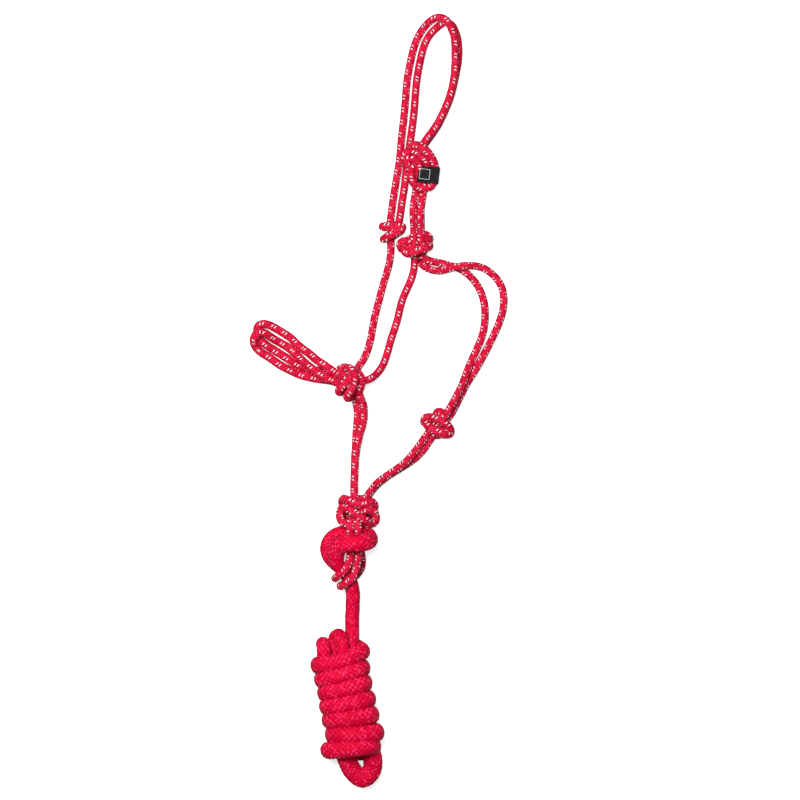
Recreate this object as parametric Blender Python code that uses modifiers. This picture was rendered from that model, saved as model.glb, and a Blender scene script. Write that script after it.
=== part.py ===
"""Rope halter with its lead rope, laid flat on a surface as it is stored.

One knotted 8 mm rope makes the whole headpiece: every span between two knots, and every
knot, is an object of its own. A 14 mm lead rope is hitched to the double loop under the
fiador knot and is wrapped into a hank.

Frame: +X to the throat side, +Y to the crown, +Z up from the surface it lies on. The
origin is on that surface, in the middle of the footprint. All sizes below are in
millimetres and are scaled to metres where the objects are made.
"""

import math

import bmesh
import bpy
import numpy as np
from mathutils import Matrix, Vector

MM = 0.001

# ---- Driving dimensions (millimetres) -------------------------------------------------
ROPE = 8.0                    # diameter of the halter's rope
LEAD = 14.0                   # diameter of the lead rope
GAP = 0.3                     # clearance left between neighbouring solids
TUBE_ROUNDNESS = {ROPE: 1, LEAD: 2}   # bevel resolution: eight sides and twelve
KNOT_TURN_FACETS = (16, 6)    # round a turn of rope in a knot, and round its section
KNOT_CORE_FACETS = (14, 8)
BEND_STEP = 6.0               # spacing of tube points round tight bends
SPAN_STEP = 12.0              # spacing of tube points along open spans
NOSE = ((0.55, 0.84), (0.85, 0.53), (0.97, 0.24))   # rounded rope end: (reach, radius) / radius

# Joint axes: one point on each axis and its direction
CROWN_AXIS = ((20.0, 202.5, 4.0), (1.0, 0.0, 0.0))
NOSEBAND_AXIS = ((-53.0, 27.0, 17.0), (0.505, 0.863, 0.0))
THROAT_AXIS = ((52.0, 148.0, 4.0), (-0.197, -0.979, 0.053))
LEAD_SWING_AXIS = ((-29.0, -223.5, 9.5), (0.0, 0.0, 1.0))
HANK_AXIS = ((-29.5, -243.0, 7.0), (-1.0, 0.0, 0.0))
LABEL_AXIS = ((61.0, 247.5, 11.5), (0.117, 0.993, 0.0))

# Woven label, folded round the tie knot's outer strand
LABEL_WIDTH = 20.0            # along the strand
LABEL_FLAP = 19.0             # from the strand's axis to the flap's free edge
LABEL_BORE = 5.0              # inner radius of its fold
LABEL_THICKNESS = 1.1

# Hank of wrapped lead rope
WRAPS = 7
WRAP_PITCH = 15.0
WRAP_CREST = 4.5              # how far each turn stands out of the valley beside it
HANK_CENTRE = (-35.0, -328.5, 21.0)
HANK_LEAN = math.radians(8.0)  # the hank's axis leans this far from the Y axis
HANK_HALF_WIDTH = 30.5
HANK_HALF_HEIGHT = 24.0       # before its underside is pressed flat on the surface
HANK_FACETS = 24              # round the hank
CREST_STEPS = 4               # along each turn's crest

# ---- Rope routes: points that each span's centre line passes through --------------------
ROUTES = {
    "crown_strand_outer": [
        (13, 202.5, 4), (15.5, 221, 4), (19, 243, 4), (22.5, 265, 4), (24.5, 287, 4), (27, 309, 4),
        (29, 331, 4), (31, 353, 4), (35, 375, 4), (41, 396, 4), (48, 408.5, 5.5), (56, 417, 9),
        (65.5, 421, 12), (73, 418.5, 12.5), (78.5, 410.5, 12.5), (82.5, 399.5, 12.5),
        (83.5, 386, 12.5), (83.5, 373, 12.5), (82.5, 357.5, 12.5), (80, 343, 12.5),
        (76, 330, 12.5), (70.5, 317, 12.5), (63.5, 303.5, 12.5), (56.5, 293.5, 12.5),
        (51, 286, 13),
    ],
    "crown_strand_inner": [
        (23, 202.5, 4), (25, 216.5, 4), (27.5, 232, 4), (30, 254, 4), (33, 276, 4), (35, 290.5, 4),
        (37.5, 309, 4), (39.5, 331, 4), (41.5, 353, 4), (45.5, 375, 4), (51.5, 395, 4),
        (58, 405, 4), (65.5, 412, 4), (72.5, 416, 4), (79, 414, 4), (83.5, 407, 4), (86.5, 397, 4),
        (87.5, 386, 4), (87, 374, 4), (84.5, 359.5, 4), (81.5, 345.5, 4), (77.5, 331.5, 4),
        (72, 318, 4), (65.5, 304.5, 4), (58.5, 293.5, 4), (53, 286, 4),
    ],
    "tie_knot_bight": [
        (57.5, 266.5, 13), (60.5, 261.5, 12), (62, 256, 11.5), (61, 247.5, 11.5),
        (60, 239.5, 11.5), (57, 234.5, 11),
    ],
    "tie_loop_strand_left": [(40, 229, 4), (38.5, 220, 4), (37.5, 211, 4), (37.5, 202.5, 4)],
    "tie_loop_strand_right": [(48.5, 229, 4), (47.5, 220, 4), (46, 211, 4), (46, 202.5, 4)],
    "cheek_strand_off": [
        (13, 171.5, 4), (12.5, 159.5, 4), (10, 146.5, 4), (6, 133, 4), (0, 111, 4), (-5.5, 89, 4),
        (-9.5, 67, 4), (-13, 55, 4), (-17, 46, 4), (-21, 40, 4),
    ],
    "cheek_strand_near": [
        (39, 154, 4), (38.5, 146.5, 4), (35, 133, 4), (25.5, 111, 4), (20, 89, 4), (13, 67, 4),
        (6.5, 45, 5), (1.5, 35, 8), (-3.5, 29, 12), (-8.5, 25, 15.5),
    ],
    "chin_strand_off": [
        (-26, 3.5, 4), (-24, -10, 4), (-24, -21, 4), (-25, -32, 4), (-25.5, -45, 4),
        (-26.5, -59.5, 4), (-27, -76, 4), (-27.5, -90, 4), (-27.5, -100, 4),
    ],
    "chin_strand_near": [
        (-18, -1, 13.5), (-16.5, -8, 10.5), (-16.5, -14, 9.5), (-17, -22, 9.5), (-20, -33, 11),
        (-23, -45, 12), (-25.5, -59.5, 12.5), (-26.5, -76, 12.5), (-27, -90, 12.5),
        (-27, -100, 12.5),
    ],
    "noseband_rope_upper": [
        (-48, 31, 13), (-59.5, 38.5, 12.5), (-68, 44, 10.5), (-77, 51, 6.5), (-87, 59.5, 4),
        (-98, 69, 4), (-109, 76.5, 4), (-120, 82.5, 4), (-128.5, 84.5, 4), (-135, 82.5, 4),
        (-137, 76.5, 4), (-134.5, 69.5, 4), (-127.5, 64.5, 4), (-119, 59, 4), (-109, 52.5, 4),
        (-98, 45, 4), (-87, 39, 4), (-76, 35, 4), (-65, 33, 4), (-48, 31, 4),
    ],
    "noseband_rope_lower": [
        (-51, 22.5, 12.5), (-64, 29, 12.5), (-73.5, 35.5, 12.5), (-82.5, 43, 10.5),
        (-92.5, 52.5, 5), (-101, 59.5, 4), (-110, 66, 5), (-120, 72.5, 9), (-128, 76.5, 12.5),
        (-135.5, 76, 13), (-140, 70.5, 13), (-139.5, 62, 8), (-133.5, 54.5, 4), (-122, 48, 4),
        (-109, 39.5, 4), (-98, 34, 4), (-87, 29, 4), (-76, 26, 4), (-65, 24, 4), (-51, 22, 4),
    ],
    "throat_strand_inner": [
        (53.5, 155, 4), (64, 152.5, 4), (76, 149.5, 4), (87, 146, 4), (95.5, 141, 4),
        (103, 134, 4), (109, 125.5, 4), (113.5, 115.5, 4), (116, 104.5, 4), (116.5, 93.5, 4),
        (115.5, 81.5, 4), (112, 68, 4), (106.5, 55, 4), (101, 43, 5.5), (95.5, 29.5, 10.5),
        (91, 17.5, 11.5), (85, 5.5, 12), (79.5, -4.5, 12), (74.5, -13, 12),
    ],
    "throat_strand_outer": [
        (52, 146.5, 4), (58.5, 144, 5), (66, 143, 8), (76, 145, 12), (86, 147.5, 13),
        (94.5, 148.5, 11), (104.5, 148.5, 6), (113.5, 146.5, 4), (122, 141.5, 4), (130, 133.5, 4),
        (135, 124.5, 4), (137, 113.5, 4), (136.5, 102.5, 4), (133, 89, 4), (126.5, 73.5, 4),
        (118.5, 57, 4), (111.5, 44, 4), (103, 29.5, 4), (95.5, 17.5, 4), (89.5, 5.5, 4),
        (84, -5.5, 4), (79, -14.5, 4),
    ],
    "throat_to_fiador_strand_upper": [
        (54.5, -34, 9.5), (48, -43.5, 10), (39.5, -55, 11), (31.5, -64.5, 12), (21.5, -73, 12.5),
        (11.5, -80, 12.5), (2, -87, 12.5),
    ],
    "throat_to_fiador_strand_lower": [
        (59, -38.5, 4), (53, -47.5, 4), (44, -59, 4), (33.5, -67.5, 4), (22.5, -74.5, 4),
        (12, -81, 4), (2.5, -88, 4),
    ],
    "fiador_strand_upper": [(9, -82, 12.5), (-2, -90, 12.5), (-8, -97, 12.5), (-12.5, -103.5, 12.5)],
    "fiador_strand_lower": [(9.5, -82.5, 4), (-1.5, -91.5, 4), (-7.5, -98, 4), (-12, -104.5, 4)],
    "fiador_loop_left": [
        (-31.5, -141, 27), (-31.5, -148.5, 27.5), (-31.5, -158.5, 27.5), (-31.5, -168.5, 27.5),
        (-33.5, -178, 28.5), (-39, -187, 28.2), (-44, -190.8, 25.6), (-47.5, -193.6, 21),
        (-48.3, -194.5, 16), (-45.5, -192.5, 8.5), (-38.5, -187.5, 4), (-32, -181.5, 4),
        (-29, -175, 6), (-29.5, -166, 11.5), (-31, -156, 17.5), (-31.5, -148.5, 19),
        (-31.5, -142, 19),
    ],
    "fiador_loop_right": [
        (-22.5, -141, 27), (-22.5, -148.5, 27.5), (-22.5, -158.5, 27.5), (-22.5, -168.5, 27.5),
        (-24, -179.5, 28), (-27, -189, 28.5), (-32, -197, 27.8), (-39.5, -202, 23.2),
        (-42.5, -203, 16), (-39.5, -201.5, 8.5), (-32.5, -197.5, 4), (-25.5, -192, 4),
        (-20, -184.5, 5.5), (-18.5, -174, 10.5), (-20.5, -161.5, 17), (-22.5, -150.5, 19),
        (-23, -142, 19),
    ],
    "lead_rope_end_loop": [
        (-28.5, -216, 12), (-29, -207, 15), (-32, -197, 16), (-37.5, -187.5, 16),
        (-46, -179.5, 12.5), (-54, -171.5, 9), (-57, -161.5, 7.5), (-52.5, -151, 7),
        (-42, -145, 7), (-29.5, -144, 7), (-20, -144.5, 8), (-11.5, -147.5, 13), (-10, -152, 25),
        (-13.3, -155, 34.5), (-22, -156.5, 40), (-32, -157, 39.5), (-41, -159.5, 36),
        (-47, -165, 30), (-47.5, -172.5, 27),
    ],
    "lead_rope_run": [(-29, -223.5, 9.5), (-29, -229, 8), (-29.5, -235.5, 7)],
    "lead_rope_neck": [(-29.5, -243, 7), (-29.5, -252, 9), (-29.5, -260.5, 14.5), (-29.5, -270, 20)],
    "hank_top_loop_middle": [
        (-50, -274.5, 12), (-51, -264, 12.5), (-48.5, -258, 16), (-44, -257, 22),
        (-40, -259.5, 28), (-39.5, -266, 31), (-40, -273, 31),
    ],
    "hank_top_loop_left": [
        (-66, -277, 8.5), (-66, -270, 8.5), (-65.5, -266, 14), (-65, -266, 21), (-65, -270, 27),
        (-65, -276, 27),
    ],
    "hank_end_loop": [
        (-42.5, -388, 17), (-39.5, -396, 14), (-34, -405, 11), (-26, -413.5, 8.5),
        (-17.5, -416.5, 8), (-9.5, -412.5, 10), (-5, -403.5, 13), (-5, -393.5, 16.5),
        (-7.5, -385, 18),
    ],
}

# Knots: centre, half width across, half length along, half height, the direction of the
# rope through the knot (degrees from +X), and where along it the turns lie
KNOTS = {
    "upper_cheek_knot_off": ((11.5, 184.9, 8.9), 11.5, 12.4, 8.6, 90, (-7, 7)),
    "upper_cheek_knot_near": ((41.0, 171.6, 11.9), 17.0, 15.2, 11.6, 90, (-7, 7)),
    "nose_knot_off": ((-32.5, 24.0, 7.5), 14.5, 16.0, 7.2, 150, (-6, 6)),
    "nose_knot_near": ((-30.5, 20.0, 23.0), 16.5, 20.0, 7.6, 150, (-10, 0, 10)),
    "throat_knot": ((64.9, -24.2, 11.2), 17.0, 13.0, 10.9, 60, (-6, 6)),
    "fiador_knot": ((-23.0, -120.7, 15.0), 24.0, 17.8, 14.6, 90, (-10, 0, 10)),
    "tie_knot": ((44.8, 248.5, 7.9), 9.0, 16.5, 7.6, 90, (-9, 1)),
}
TIE_KNOT_TOP = ((45.0, 273.5, 11.8), 9.5, 11.0, 11.4, 90, (0,))
STUB_X = (37.5, 46.0)         # the tie loop's two strands, where they leave the near knot
STUB_FROM = 180.0
STUB_TO = 197.0


# ---- Scene, collections and materials ---------------------------------------------------
def clear_scene():
    """Remove whatever the scene holds."""
    for obj in list(bpy.data.objects):
        bpy.data.objects.remove(obj, do_unlink=True)


def collection(name):
    """Make a collection under the scene's own."""
    made = bpy.data.collections.new(name)
    bpy.context.scene.collection.children.link(made)
    return made


def material(name, colour, roughness, metallic=0.0):
    """Make a Principled material in one colour."""
    made = bpy.data.materials.new(name)
    made.use_nodes = True
    shader = made.node_tree.nodes["Principled BSDF"]
    shader.inputs["Base Color"].default_value = (*colour, 1.0)
    shader.inputs["Roughness"].default_value = roughness
    shader.inputs["Metallic"].default_value = metallic
    return made


# ---- Rope tubes -------------------------------------------------------------------------
def smooth(points, step):
    """Read points about a step apart from the natural cubic spline through a route."""
    route = np.asarray(points, float)
    count = len(route)
    along = np.concatenate([[0.0], np.cumsum(np.linalg.norm(np.diff(route, axis=0), axis=1))])
    gaps = np.diff(along)
    system = np.eye(count)
    target = np.zeros((count, 3))
    for i in range(1, count - 1):
        system[i, i - 1:i + 2] = gaps[i - 1], 2 * (gaps[i - 1] + gaps[i]), gaps[i]
        ahead = (route[i + 1] - route[i]) / gaps[i]
        behind = (route[i] - route[i - 1]) / gaps[i - 1]
        target[i] = 6 * (ahead - behind)
    second = np.linalg.solve(system, target)
    places = np.linspace(0.0, along[-1], max(2, round(along[-1] / step) + 1))
    k = np.clip(np.searchsorted(along, places, side="right") - 1, 0, count - 2)
    u = ((along[k + 1] - places) / gaps[k])[:, None]
    v = 1 - u
    bend = (gaps[k] ** 2 / 6)[:, None]
    return u * route[k] + v * route[k + 1] + bend * ((u**3 - u) * second[k] + (v**3 - v) * second[k + 1])


def nose_points(tip, inner, radius):
    """Points that carry a rope's end past its last point and round it off."""
    direction = (tip - inner) / np.linalg.norm(tip - inner)
    return [(tip + direction * radius * reach, size) for reach, size in NOSE]


def rope(name, parts, look, diameter=ROPE, step=SPAN_STEP, nose_at_start=False, nose_at_end=False):
    """A rope span: a bevelled curve with filled caps along one of the routes."""
    radius = diameter / 2
    points = smooth(ROUTES[name], step)
    points[:, 2] = np.maximum(points[:, 2], radius)
    stations = [(point, 1.0) for point in points]
    if nose_at_start:
        stations = nose_points(points[0], points[1], radius)[::-1] + stations
    if nose_at_end:
        stations += nose_points(points[-1], points[-2], radius)
    curve = bpy.data.curves.new(name, "CURVE")
    curve.dimensions = "3D"
    curve.bevel_depth = radius * MM
    curve.bevel_resolution = TUBE_ROUNDNESS[diameter]
    curve.use_fill_caps = True
    spline = curve.splines.new("POLY")
    spline.points.add(len(stations) - 1)
    for point, (place, size) in zip(spline.points, stations):
        point.co = (*(place * MM), 1.0)
        point.radius = size
    made = bpy.data.objects.new(name, curve)
    made.data.materials.append(look)
    parts.objects.link(made)
    return made


def as_mesh(curve_object):
    """Turn a tube into a closed mesh object of the same name."""
    name = curve_object.name
    evaluated = curve_object.evaluated_get(bpy.context.evaluated_depsgraph_get())
    mesh = bpy.data.meshes.new_from_object(evaluated)
    made = bpy.data.objects.new(name + "_mesh", mesh)
    made.matrix_world = curve_object.matrix_world.copy()
    for holder in curve_object.users_collection:
        holder.objects.link(made)
    bpy.data.objects.remove(curve_object, do_unlink=True)
    made.name = name
    shell = bmesh.new()
    shell.from_mesh(mesh)
    bmesh.ops.remove_doubles(shell, verts=shell.verts, dist=0.00001)
    shell.to_mesh(mesh)
    shell.free()
    return made


def trim(curve_object, point, normal):
    """Cut a tube flat with an upright plane and keep the side the normal points to."""
    made = as_mesh(curve_object)
    toward = Vector(normal).normalized()
    place = (Vector(point) + toward * GAP) * MM
    shell = bmesh.new()
    shell.from_mesh(made.data)
    everything = shell.verts[:] + shell.edges[:] + shell.faces[:]
    cut = bmesh.ops.bisect_plane(
        shell, geom=everything, dist=0.000001, plane_co=place, plane_no=toward, clear_inner=True
    )
    rim = [item for item in cut["geom_cut"] if isinstance(item, bmesh.types.BMEdge)]
    bmesh.ops.edgeloop_fill(shell, edges=rim)
    bmesh.ops.recalc_face_normals(shell, faces=shell.faces)
    shell.to_mesh(made.data)
    shell.free()
    return made


# ---- Knots ------------------------------------------------------------------------------
def lump(name, holder, centre, half_sizes, turn):
    """An ellipsoid, its long axes turned about +Z."""
    segments, rings = KNOT_CORE_FACETS
    bpy.ops.mesh.primitive_uv_sphere_add(segments=segments, ring_count=rings, radius=1.0)
    return settle(bpy.context.object, name, holder, centre, half_sizes, turn)


def turn_of_rope(name, holder, centre, half_width, half_height, turn):
    """One turn of rope round a knot: a ring whose axis is the rope's direction."""
    thick = ROPE / 2 / half_width
    round_turn, round_section = KNOT_TURN_FACETS
    bpy.ops.mesh.primitive_torus_add(
        major_segments=round_turn, minor_segments=round_section,
        major_radius=1 - thick, minor_radius=thick, rotation=(0.0, math.pi / 2, 0.0),
    )
    bpy.ops.object.transform_apply(location=False, rotation=True, scale=False)
    sizes = (half_width, half_width, half_height)
    return settle(bpy.context.object, name, holder, centre, sizes, turn)


def settle(obj, name, holder, centre, half_sizes, turn):
    """Size a primitive, turn it about +Z, name it and move it to its collection."""
    obj.name = name
    obj.scale = [size * MM for size in half_sizes]
    bpy.ops.object.transform_apply(location=False, rotation=False, scale=True)
    obj.rotation_euler = (0.0, 0.0, math.radians(turn))
    obj.location = [value * MM for value in centre]
    for other in list(obj.users_collection):
        other.objects.unlink(obj)
    holder.objects.link(obj)
    return obj


def boolean(target, cutter, operation):
    """Join or cut a mesh with a hidden cutter."""
    cutter.hide_render = True
    cutter.display_type = "WIRE"
    change = target.modifiers.new(cutter.name, "BOOLEAN")
    change.operation = operation
    change.solver = "EXACT"
    change.object = cutter


def shade(obj):
    """Round pieces are smooth except at real edges."""
    obj.data.shade_smooth()
    obj.data.set_sharp_from_angle(angle=math.radians(50))


def knot(name, shape, parts, cutters, look):
    """A tight knot: a core of rope with its turns standing out of it."""
    centre, half_width, half_length, half_height, turn, offsets = shape
    made = lump(name, parts, centre, (half_length, half_width - 1, half_height - 0.6), turn)
    made.data.materials.append(look)
    shade(made)
    along = Vector((math.cos(math.radians(turn)), math.sin(math.radians(turn)), 0.0))
    for number, offset in enumerate(offsets, 1):
        share = math.sqrt(1 - (offset / (half_length * 1.25)) ** 2)
        place = Vector(centre) + along * offset
        ring = turn_of_rope(
            f"{name}_turn_{number}", cutters, place, half_width * share, half_height * share, turn
        )
        boolean(made, ring, "UNION")
    return made


def add_stubs(target, cutters):
    """Join the tie loop's two short strands to the knot they come out of."""
    for number, x in enumerate(STUB_X, 1):
        bpy.ops.mesh.primitive_cylinder_add(
            vertices=12, radius=ROPE / 2 * MM, depth=(STUB_TO - STUB_FROM) * MM,
            location=(x * MM, (STUB_TO + STUB_FROM) / 2 * MM, (ROPE / 2 + 0.1) * MM),
            rotation=(math.pi / 2, 0.0, 0.0),
        )
        stub = bpy.context.object
        stub.name = f"{target.name}_strand_{number}"
        for other in list(stub.users_collection):
            other.objects.unlink(stub)
        cutters.objects.link(stub)
        boolean(target, stub, "UNION")


# ---- Label and hank ---------------------------------------------------------------------
def label(parts, look):
    """A woven label: a flap on top of the knot, folded half way round its strand."""
    origin, axis = LABEL_AXIS
    sheet = bmesh.new()
    half_turn = [math.pi / 2 - math.pi * i / 8 for i in range(9)]
    profile = [(-LABEL_FLAP, LABEL_BORE)]
    profile += [(LABEL_BORE * math.cos(a), LABEL_BORE * math.sin(a)) for a in half_turn]
    start = -LABEL_WIDTH / 2
    verts = [sheet.verts.new((x * MM, start * MM, z * MM)) for x, z in profile]
    edges = [sheet.edges.new(pair) for pair in zip(verts, verts[1:])]
    grown = bmesh.ops.extrude_edge_only(sheet, edges=edges)
    moved = [item for item in grown["geom"] if isinstance(item, bmesh.types.BMVert)]
    bmesh.ops.translate(sheet, verts=moved, vec=(0.0, LABEL_WIDTH * MM, 0.0))
    bmesh.ops.recalc_face_normals(sheet, faces=sheet.faces)
    mesh = bpy.data.meshes.new("label")
    sheet.to_mesh(mesh)
    sheet.free()
    made = bpy.data.objects.new("label", mesh)
    made.location = [value * MM for value in origin]
    made.rotation_euler = (0.0, 0.0, -math.atan2(axis[0], axis[1]))
    mesh.materials.append(look)
    parts.objects.link(made)
    cloth = made.modifiers.new("cloth", "SOLIDIFY")
    cloth.thickness = LABEL_THICKNESS * MM
    outward = sum((face.normal.z for face in mesh.polygons if face.center.z > 0), 0.0)
    cloth.offset = 1.0 if outward > 0 else -1.0
    return made


def hank_wraps(parts, cutters, look):
    """The hank's outer shape: turned crests for its wraps, flattened and pressed flat below."""
    length = WRAPS * WRAP_PITCH
    profile = [(0.0, length / 2)]
    for wrap in range(WRAPS):
        top = length / 2 - wrap * WRAP_PITCH
        for i in range(CREST_STEPS + (wrap == WRAPS - 1)):
            share = i / CREST_STEPS
            radius = HANK_HALF_WIDTH - WRAP_CREST * (1 - math.sin(math.pi * share))
            profile.append((radius, top - share * WRAP_PITCH))
    profile.append((0.0, -length / 2))
    mesh = bpy.data.meshes.new("hank_wraps")
    flatten = HANK_HALF_HEIGHT / HANK_HALF_WIDTH
    points = [(x * MM, 0.0, y * MM) for x, y in profile]
    mesh.from_pydata(points, [(i, i + 1) for i in range(len(points) - 1)], [])
    made = bpy.data.objects.new("hank_wraps", mesh)
    mesh.materials.append(look)
    parts.objects.link(made)
    turned = made.modifiers.new("turned", "SCREW")
    turned.axis = "Z"
    turned.steps = HANK_FACETS
    turned.render_steps = HANK_FACETS
    turned.use_merge_vertices = True
    turned.merge_threshold = 0.00005
    upright_to_lying = Matrix.Rotation(math.pi / 2, 4, "X")
    lean = Matrix.Rotation(HANK_LEAN, 4, "Z")
    squeeze = Matrix.Diagonal((1.0, 1.0, flatten, 1.0))
    place = Matrix.Translation([value * MM for value in HANK_CENTRE])
    made.matrix_world = place @ lean @ squeeze @ upright_to_lying
    bpy.ops.mesh.primitive_cube_add(size=0.2)
    floor = bpy.context.object
    floor.name = "surface_under_hank"
    floor.location = (HANK_CENTRE[0] * MM, HANK_CENTRE[1] * MM, -0.1)
    for other in list(floor.users_collection):
        other.objects.unlink(floor)
    cutters.objects.link(floor)
    boolean(made, floor, "DIFFERENCE")
    return made


# ---- Assembly ---------------------------------------------------------------------------
def carry(name, joint_axis, pieces, guides):
    """Hang a moving body's pieces on an empty that stands on the joint's axis."""
    pivot = bpy.data.objects.new(name, None)
    pivot.location = [value * MM for value in joint_axis[0]]
    pivot.empty_display_size = 0.02
    guides.objects.link(pivot)
    bpy.context.view_layer.update()
    for piece in pieces:
        piece.parent = pivot
        piece.matrix_parent_inverse = pivot.matrix_world.inverted()
    return pivot


def build():
    """Make every piece and hang the moving ones on their joints."""
    clear_scene()
    parts = collection("rope_halter")
    cutters = collection("cutters")
    red = material("halter_rope", (0.62, 0.006, 0.030), 0.62)
    crimson = material("lead_rope", (0.56, 0.004, 0.040), 0.66)
    black = material("label_cloth", (0.012, 0.012, 0.013), 0.75)

    knots = {name: knot(name, shape, parts, cutters, red) for name, shape in KNOTS.items()}
    add_stubs(knots["upper_cheek_knot_near"], cutters)
    top = knot("tie_knot_top", TIE_KNOT_TOP, cutters, cutters, red)
    boolean(knots["tie_knot"], top, "UNION")

    for name in ("cheek_strand_off", "cheek_strand_near", "chin_strand_off", "chin_strand_near"):
        rope(name, parts, red)
    for name in ("fiador_loop_left", "fiador_loop_right"):
        rope(name, parts, red, step=BEND_STEP)
    rope("lead_rope_end_loop", parts, crimson, LEAD, BEND_STEP)

    across = Vector(NOSEBAND_AXIS[1]).cross(Vector((0.0, 0.0, 1.0)))
    away = -across if across.x > 0 else across
    noseband = [
        trim(rope(name, parts, red, step=BEND_STEP), NOSEBAND_AXIS[0], away)
        for name in ("noseband_rope_upper", "noseband_rope_lower")
    ]

    flat_axis = Vector((THROAT_AXIS[1][0], THROAT_AXIS[1][1], 0.0))
    outward = Vector((0.0, 0.0, 1.0)).cross(flat_axis)
    for name in ("fiador_strand_upper", "fiador_strand_lower"):
        trim(rope(name, parts, red, step=BEND_STEP), THROAT_AXIS[0], -outward)
    throat = [
        trim(rope(name, parts, red), THROAT_AXIS[0], outward)
        for name in ("throat_to_fiador_strand_upper", "throat_to_fiador_strand_lower")
    ]
    throat += [
        rope(name, parts, red, nose_at_start=True)
        for name in ("throat_strand_inner", "throat_strand_outer")
    ]

    crown = [
        rope(name, parts, red, nose_at_start=True)
        for name in ("crown_strand_outer", "crown_strand_inner")
    ]
    crown += [
        rope(name, parts, red, nose_at_end=True)
        for name in ("tie_loop_strand_left", "tie_loop_strand_right")
    ]
    crown += [rope("tie_knot_bight", parts, red, step=BEND_STEP), knots["tie_knot"]]
    tag = label(parts, black)

    run = rope("lead_rope_run", parts, crimson, LEAD, BEND_STEP, nose_at_start=True)
    hank = [
        rope("lead_rope_neck", parts, crimson, LEAD, BEND_STEP, nose_at_start=True),
        rope("hank_top_loop_middle", parts, crimson, LEAD, BEND_STEP),
        rope("hank_top_loop_left", parts, crimson, LEAD, BEND_STEP),
        rope("hank_end_loop", parts, crimson, LEAD, BEND_STEP),
        hank_wraps(parts, cutters, crimson),
    ]

    pivots = cutters
    crown_pivot = carry("crown_pivot", CROWN_AXIS, crown, pivots)
    label_pivot = carry("label_pivot", LABEL_AXIS, [tag], pivots)
    carry("noseband_pivot", NOSEBAND_AXIS, noseband, pivots)
    carry("throat_pivot", THROAT_AXIS, throat + [knots["throat_knot"]], pivots)
    lead_pivot = carry("lead_pivot", LEAD_SWING_AXIS, [run], pivots)
    hank_pivot = carry("hank_pivot", HANK_AXIS, hank, pivots)
    for child, parent in ((label_pivot, crown_pivot), (hank_pivot, lead_pivot)):
        bpy.context.view_layer.update()
        child.parent = parent
        child.matrix_parent_inverse = parent.matrix_world.inverted()


build()
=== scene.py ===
"""The looks of the rope halter: braided cord with pale tracer flecks, tied knots and a wrapped lead rope.

Everything is in metres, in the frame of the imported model: +X to the throat side, +Y to the
crown, +Z up from the surface that the halter lies on. Only the routes that ropes follow are
written in millimetres, as lists of points that in_metres turns into metres.
"""

import math

import bpy
import numpy as np
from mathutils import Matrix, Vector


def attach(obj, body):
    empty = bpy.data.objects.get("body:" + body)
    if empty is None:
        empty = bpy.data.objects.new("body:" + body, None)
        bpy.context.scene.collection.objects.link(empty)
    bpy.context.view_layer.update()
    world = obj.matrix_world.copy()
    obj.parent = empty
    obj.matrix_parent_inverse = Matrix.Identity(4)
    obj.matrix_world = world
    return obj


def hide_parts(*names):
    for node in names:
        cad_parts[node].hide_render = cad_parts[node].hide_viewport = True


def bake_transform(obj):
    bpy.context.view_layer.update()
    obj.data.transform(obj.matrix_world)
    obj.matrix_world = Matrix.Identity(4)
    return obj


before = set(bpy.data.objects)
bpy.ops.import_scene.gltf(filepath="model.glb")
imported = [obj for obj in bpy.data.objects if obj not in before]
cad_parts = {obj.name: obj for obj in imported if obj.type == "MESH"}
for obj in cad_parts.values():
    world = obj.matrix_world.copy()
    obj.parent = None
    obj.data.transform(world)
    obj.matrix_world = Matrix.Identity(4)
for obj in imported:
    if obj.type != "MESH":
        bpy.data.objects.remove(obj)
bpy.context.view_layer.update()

# ---- Driving dimensions ----
ROPE = 0.0088                 # diameter of the halter's rope
LEAD = 0.0162                 # diameter of the lead rope
RING_STEP = 0.0008            # spacing of a tube's rings along the halter's rope
LEAD_STEP = 0.0011            # and along the lead rope
ROPE_SIDES = 32               # points round a tube of the halter's rope
LEAD_SIDES = 48               # and round the lead rope

# Braids: carriers each way round the rope, length of one full turn of a carrier, and how
# deep the gaps between the carriers are, as a share of the rope's radius
HALTER_BRAID = (8, 0.0276, 0.09)
LEAD_BRAID = (9, 0.046, 0.14)
THREAD_BRAID = (2, 0.002, 0.1)
CROSSING_SHARPNESS = 4        # how suddenly one carrier dives under another
CARRIER_ROUNDNESS = 0.6       # power of a carrier's section: smaller is squarer
CARRIER_HUMP = 0.25           # share of its height that a carrier loses towards its crossings
# The pale tracer yarn shows as pairs of short dashes in columns along the halter's rope
FLECK_COLUMNS = 4             # round the rope
FLECK_PITCH = 0.0138          # from one pair to the next
FLECK_APART = 0.0034          # between the two dashes of a pair
FLECK_SLANT = 0.325           # how far a dash leans along the rope, for each unit across it

# Colours: painted shade for the gaps between carriers, the carriers, and a painted highlight for the crests
# that catch the light
HALTER_REDS = ((0.15, 0.0, 0.008), (0.60, 0.004, 0.035), (0.98, 0.045, 0.130))
LEAD_REDS = ((0.32, 0.0, 0.014), (0.63, 0.0, 0.035), (0.98, 0.036, 0.150))
TRACER = (0.88, 0.64, 0.70)

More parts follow.
